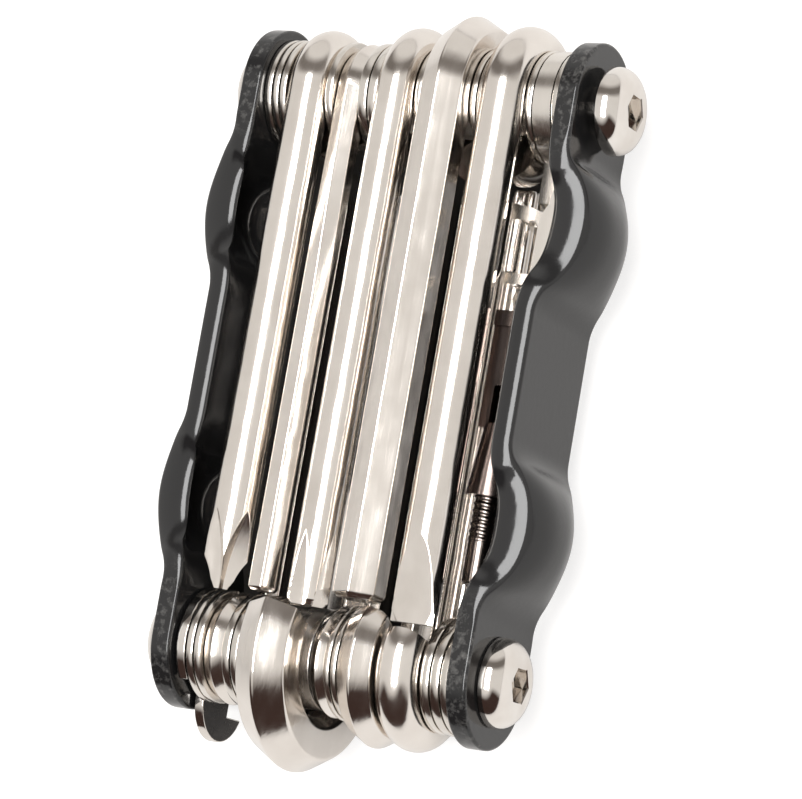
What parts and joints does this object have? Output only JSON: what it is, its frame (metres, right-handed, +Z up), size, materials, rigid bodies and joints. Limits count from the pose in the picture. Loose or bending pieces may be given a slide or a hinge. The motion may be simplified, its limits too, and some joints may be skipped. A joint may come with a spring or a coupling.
{
  "type": "folding bicycle multi-tool with chain tool",
  "caption": "Folding bicycle multi-tool: bent hex keys, cross, slotted and star drivers and a chain tool fold between two wavy black side plates.",
  "frame": {"origin": "bottom centre of the box round the folded tool", "axes": "+X along the pivot axles towards the chain tool's side plate, +Y along the tool towards the upper axle, +Z up from the back layer to the front layer, with the folded tool lying on its back"},
  "size_m": [0.0496, 0.085, 0.025],
  "materials": {
    "side_plate": "gloss black, worn at the end rims",
    "washer": "polished nickel",
    "bush": "plain turned steel",
    "pivot": "polished",
    "tool_bar": "satin nickel",
    "spoke_key": "polished",
    "chain_tool": "dark polished",
    "press_pin": "polished"
  },
  "bodies": {
    "frame": {"right_side_plate": "side_plate", "left_side_plate": "side_plate", "upper_pivot_post": "pivot", "lower_pivot_post": "pivot", "upper_pivot_screw": "pivot", "lower_pivot_screw": "pivot", "upper_washer_1": "washer", "upper_washer_2": "washer", "upper_washer_3": "washer", "upper_washer_4": "washer", "upper_washer_5": "washer", "upper_washer_6": "washer", "upper_washer_7": "washer", "upper_washer_8": "washer", "upper_washer_9": "washer", "upper_washer_10": "washer", "upper_washer_11": "washer", "upper_washer_12": "washer", "lower_washer_1": "washer", "lower_washer_2": "washer", "lower_washer_3": "washer", "lower_washer_4": "washer", "lower_washer_5": "washer", "lower_washer_6": "washer", "lower_washer_7": "washer", "lower_washer_8": "washer", "lower_washer_9": "washer", "lower_washer_10": "washer", "lower_washer_11": "washer", "lower_washer_12": "washer", "cross_driver_small_bush": "bush", "hex_5mm_key_bush": "bush", "slotted_driver_bush": "bush", "hex_2_5mm_key_bush": "bush", "hex_6mm_key_bush": "bush", "hex_2mm_key_bush": "bush", "hex_4mm_key_bush": "bush", "star_driver_bush": "bush"},
    "cross_driver_large": {"cross_driver_large": "tool_bar"},
    "hex_3mm_key": {"hex_3mm_key": "tool_bar"},
    "cross_driver_small": {"cross_driver_small": "tool_bar"},
    "hex_5mm_key": {"hex_5mm_key": "tool_bar"},
    "slotted_driver": {"slotted_driver": "tool_bar"},
    "hex_2_5mm_key": {"hex_2_5mm_key": "tool_bar"},
    "hex_6mm_key": {"hex_6mm_key": "tool_bar"},
    "hex_2mm_key": {"hex_2mm_key": "tool_bar"},
    "hex_4mm_key": {"hex_4mm_key": "tool_bar"},
    "star_driver": {"star_driver": "tool_bar"},
    "spoke_key": {"spoke_key": "spoke_key"},
    "chain_tool": {"chain_tool_body": "chain_tool"},
    "press_pin": {"chain_tool_pin": "press_pin"},
    "press_screw": {"chain_tool_screw": "chain_tool"}
  },
  "joints": [
    {"name": "cross_driver_large_swing", "type": "hinge", "parent": "frame", "child": "cross_driver_large", "pos_m": [0, 0.03274, 0.01253], "axis": [-1, 0, 0], "range_deg": [0, 180]},
    {"name": "hex_3mm_key_swing", "type": "hinge", "parent": "frame", "child": "hex_3mm_key", "pos_m": [0, 0.03274, 0.01253], "axis": [-1, 0, 0], "range_deg": [0, 180]},
    {"name": "cross_driver_small_swing", "type": "hinge", "parent": "frame", "child": "cross_driver_small", "pos_m": [0, 0.03274, 0.01253], "axis": [-1, 0, 0], "range_deg": [0, 180]},
    {"name": "hex_5mm_key_swing", "type": "hinge", "parent": "frame", "child": "hex_5mm_key", "pos_m": [0, 0.03274, 0.01253], "axis": [-1, 0, 0], "range_deg": [0, 180]},
    {"name": "slotted_driver_swing", "type": "hinge", "parent": "frame", "child": "slotted_driver", "pos_m": [0, 0.03274, 0.01253], "axis": [-1, 0, 0], "range_deg": [0, 180]},
    {"name": "hex_2_5mm_key_swing", "type": "hinge", "parent": "frame", "child": "hex_2_5mm_key", "pos_m": [0, -0.02996, 0.01253], "axis": [-1, 0, 0], "range_deg": [0, 180]},
    {"name": "hex_6mm_key_swing", "type": "hinge", "parent": "frame", "child": "hex_6mm_key", "pos_m": [0, -0.02996, 0.01253], "axis": [-1, 0, 0], "range_deg": [0, 180]},
    {"name": "hex_2mm_key_swing", "type": "hinge", "parent": "frame", "child": "hex_2mm_key", "pos_m": [0, -0.02996, 0.01253], "axis": [-1, 0, 0], "range_deg": [0, 180]},
    {"name": "hex_4mm_key_swing", "type": "hinge", "parent": "frame", "child": "hex_4mm_key", "pos_m": [0, -0.02996, 0.01253], "axis": [-1, 0, 0], "range_deg": [0, 180]},
    {"name": "star_driver_swing", "type": "hinge", "parent": "frame", "child": "star_driver", "pos_m": [0, -0.02996, 0.01253], "axis": [-1, 0, 0], "range_deg": [0, 180]},
    {"name": "spoke_key_swing", "type": "hinge", "parent": "frame", "child": "spoke_key", "pos_m": [0, -0.02996, 0.01253], "axis": [-1, 0, 0], "range_deg": [0, 90]},
    {"name": "chain_tool_swing", "type": "hinge", "parent": "frame", "child": "chain_tool", "pos_m": [0, 0.03274, 0.01253], "axis": [1, 0, 0], "range_deg": [0, 180]},
    {"name": "press_pin_slide", "type": "slide", "parent": "chain_tool", "child": "press_pin", "axis": [0, 1, 0], "range_m": [0, 0.006]},
    {"name": "press_screw_turn", "type": "hinge", "parent": "press_pin", "child": "press_screw", "pos_m": [0.0153, 0.00139, 0.01353], "axis": [0, 1, 0], "range_deg": [0, 2160]}
  ],
  "couplings": [
    {"joint": "press_screw_turn", "follows": "press_pin_slide", "rad_per_m": 6283.2}
  ]
}
